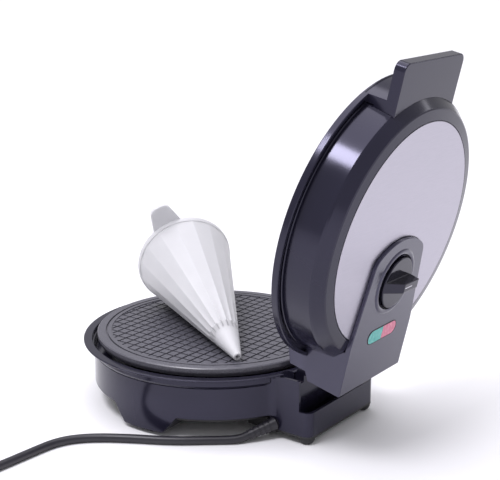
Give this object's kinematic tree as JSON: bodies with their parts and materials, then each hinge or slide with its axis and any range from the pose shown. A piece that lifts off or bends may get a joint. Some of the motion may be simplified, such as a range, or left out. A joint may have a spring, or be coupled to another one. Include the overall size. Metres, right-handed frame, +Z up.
{
  "type": "waffle cone maker",
  "caption": "Electric waffle cone maker: hinged round lid over a gridded non-stick plate, thermostat knob, indicator lenses, handle, mains lead and loose cone roller.",
  "frame": {"origin": "on the table, under the centre of the machine's box with the lid open and without its mains lead", "axes": "+Z up, -Y towards the user (handle side), +Y towards the hinge, +X to the machine's right, where the mains lead leaves"},
  "size_m": [0.3904, 0.326, 0.2853],
  "materials": {
    "shell_black": "glossy black moulded housing",
    "knob_black": "glossy black knob",
    "stainless": "satin stainless sheet",
    "nonstick": "dark non-stick coating on cast aluminium",
    "element": "sheathed heating element",
    "reflector": "bright pressed aluminium",
    "rubber": "black rubber foot",
    "screw_steel": "zinc-plated steel",
    "pin_steel": "bright steel",
    "bush": "acetal bearing bush",
    "nylon": "white nylon",
    "lens_green": "translucent green lens",
    "lens_red": "translucent red lens",
    "lamp_glass": "neon lamp glass",
    "roller_white": "white translucent food-grade plastic",
    "cord_black": "black flexible lead sheath",
    "tie_grey": "reusable cord tie",
    "brass": "brass",
    "mark_white": "light index line"
  },
  "bodies": {
    "base": {"base_shell": "shell_black", "base_cover": "shell_black", "lower_plate": "nonstick", "lower_heating_element": "element", "lower_heat_reflector": "reflector", "lower_plate_screws": "screw_steel", "base_cover_screws": "screw_steel", "rear_foot_right": "rubber", "rear_foot_left": "rubber", "foot_pad_right": "rubber", "foot_pad_left": "rubber", "foot_pad_front": "rubber", "hinge_bush_right": "bush", "hinge_bush_left": "bush", "terminal_block": "nylon", "terminal_screws": "brass", "cord_clamp": "nylon", "cord_inner_end": "cord_black", "thermal_fuse": "pin_steel", "power_cord": "cord_black", "cord_coil": "cord_black", "cord_tie": "tie_grey", "cord_tail": "cord_black", "plug_body": "cord_black", "plug_blades": "brass", "cord_strain_relief": "cord_black"},
    "lid": {"lid_ring": "shell_black", "lid_shell": "shell_black", "stainless_top_panel": "stainless", "hinge_arm": "shell_black", "handle": "shell_black", "upper_plate": "nonstick", "upper_heating_element": "element", "upper_heat_reflector": "reflector", "upper_plate_screws": "screw_steel", "lens_green": "lens_green", "lens_red": "lens_red", "lamp_holder": "nylon", "lamp_green": "lamp_glass", "lamp_red": "lamp_glass", "thermostat_body": "nylon", "handle_screws": "screw_steel", "arm_screws": "screw_steel", "hinge_pin": "pin_steel"},
    "knob": {"control_knob": "knob_black", "knob_pointer": "mark_white", "thermostat_shaft": "pin_steel"},
    "roller": {"roller_cone": "roller_white", "roller_nose": "roller_white", "roller_cap": "roller_white"}
  },
  "joints": [
    {"name": "lid_hinge", "type": "hinge", "parent": "base", "child": "lid", "pos_m": [0, 0.06904, 0.0592], "axis": [1, 0, 0], "range_deg": [0, 103.1]},
    {"name": "thermostat_turn", "type": "hinge", "parent": "lid", "child": "knob", "pos_m": [0, 0.12123, 0.12334], "axis": [0, 0.974, -0.2267], "range_deg": [-60, 210]},
    {"name": "roller_slide", "type": "slide", "parent": "base", "child": "roller", "axis": [-1, 0, 0], "range_m": [0, 0.265]}
  ],
  "couplings": [
    {"joint": "roller_slide", "follows": "lid_hinge", "m_per_rad": 0.1444}
  ]
}
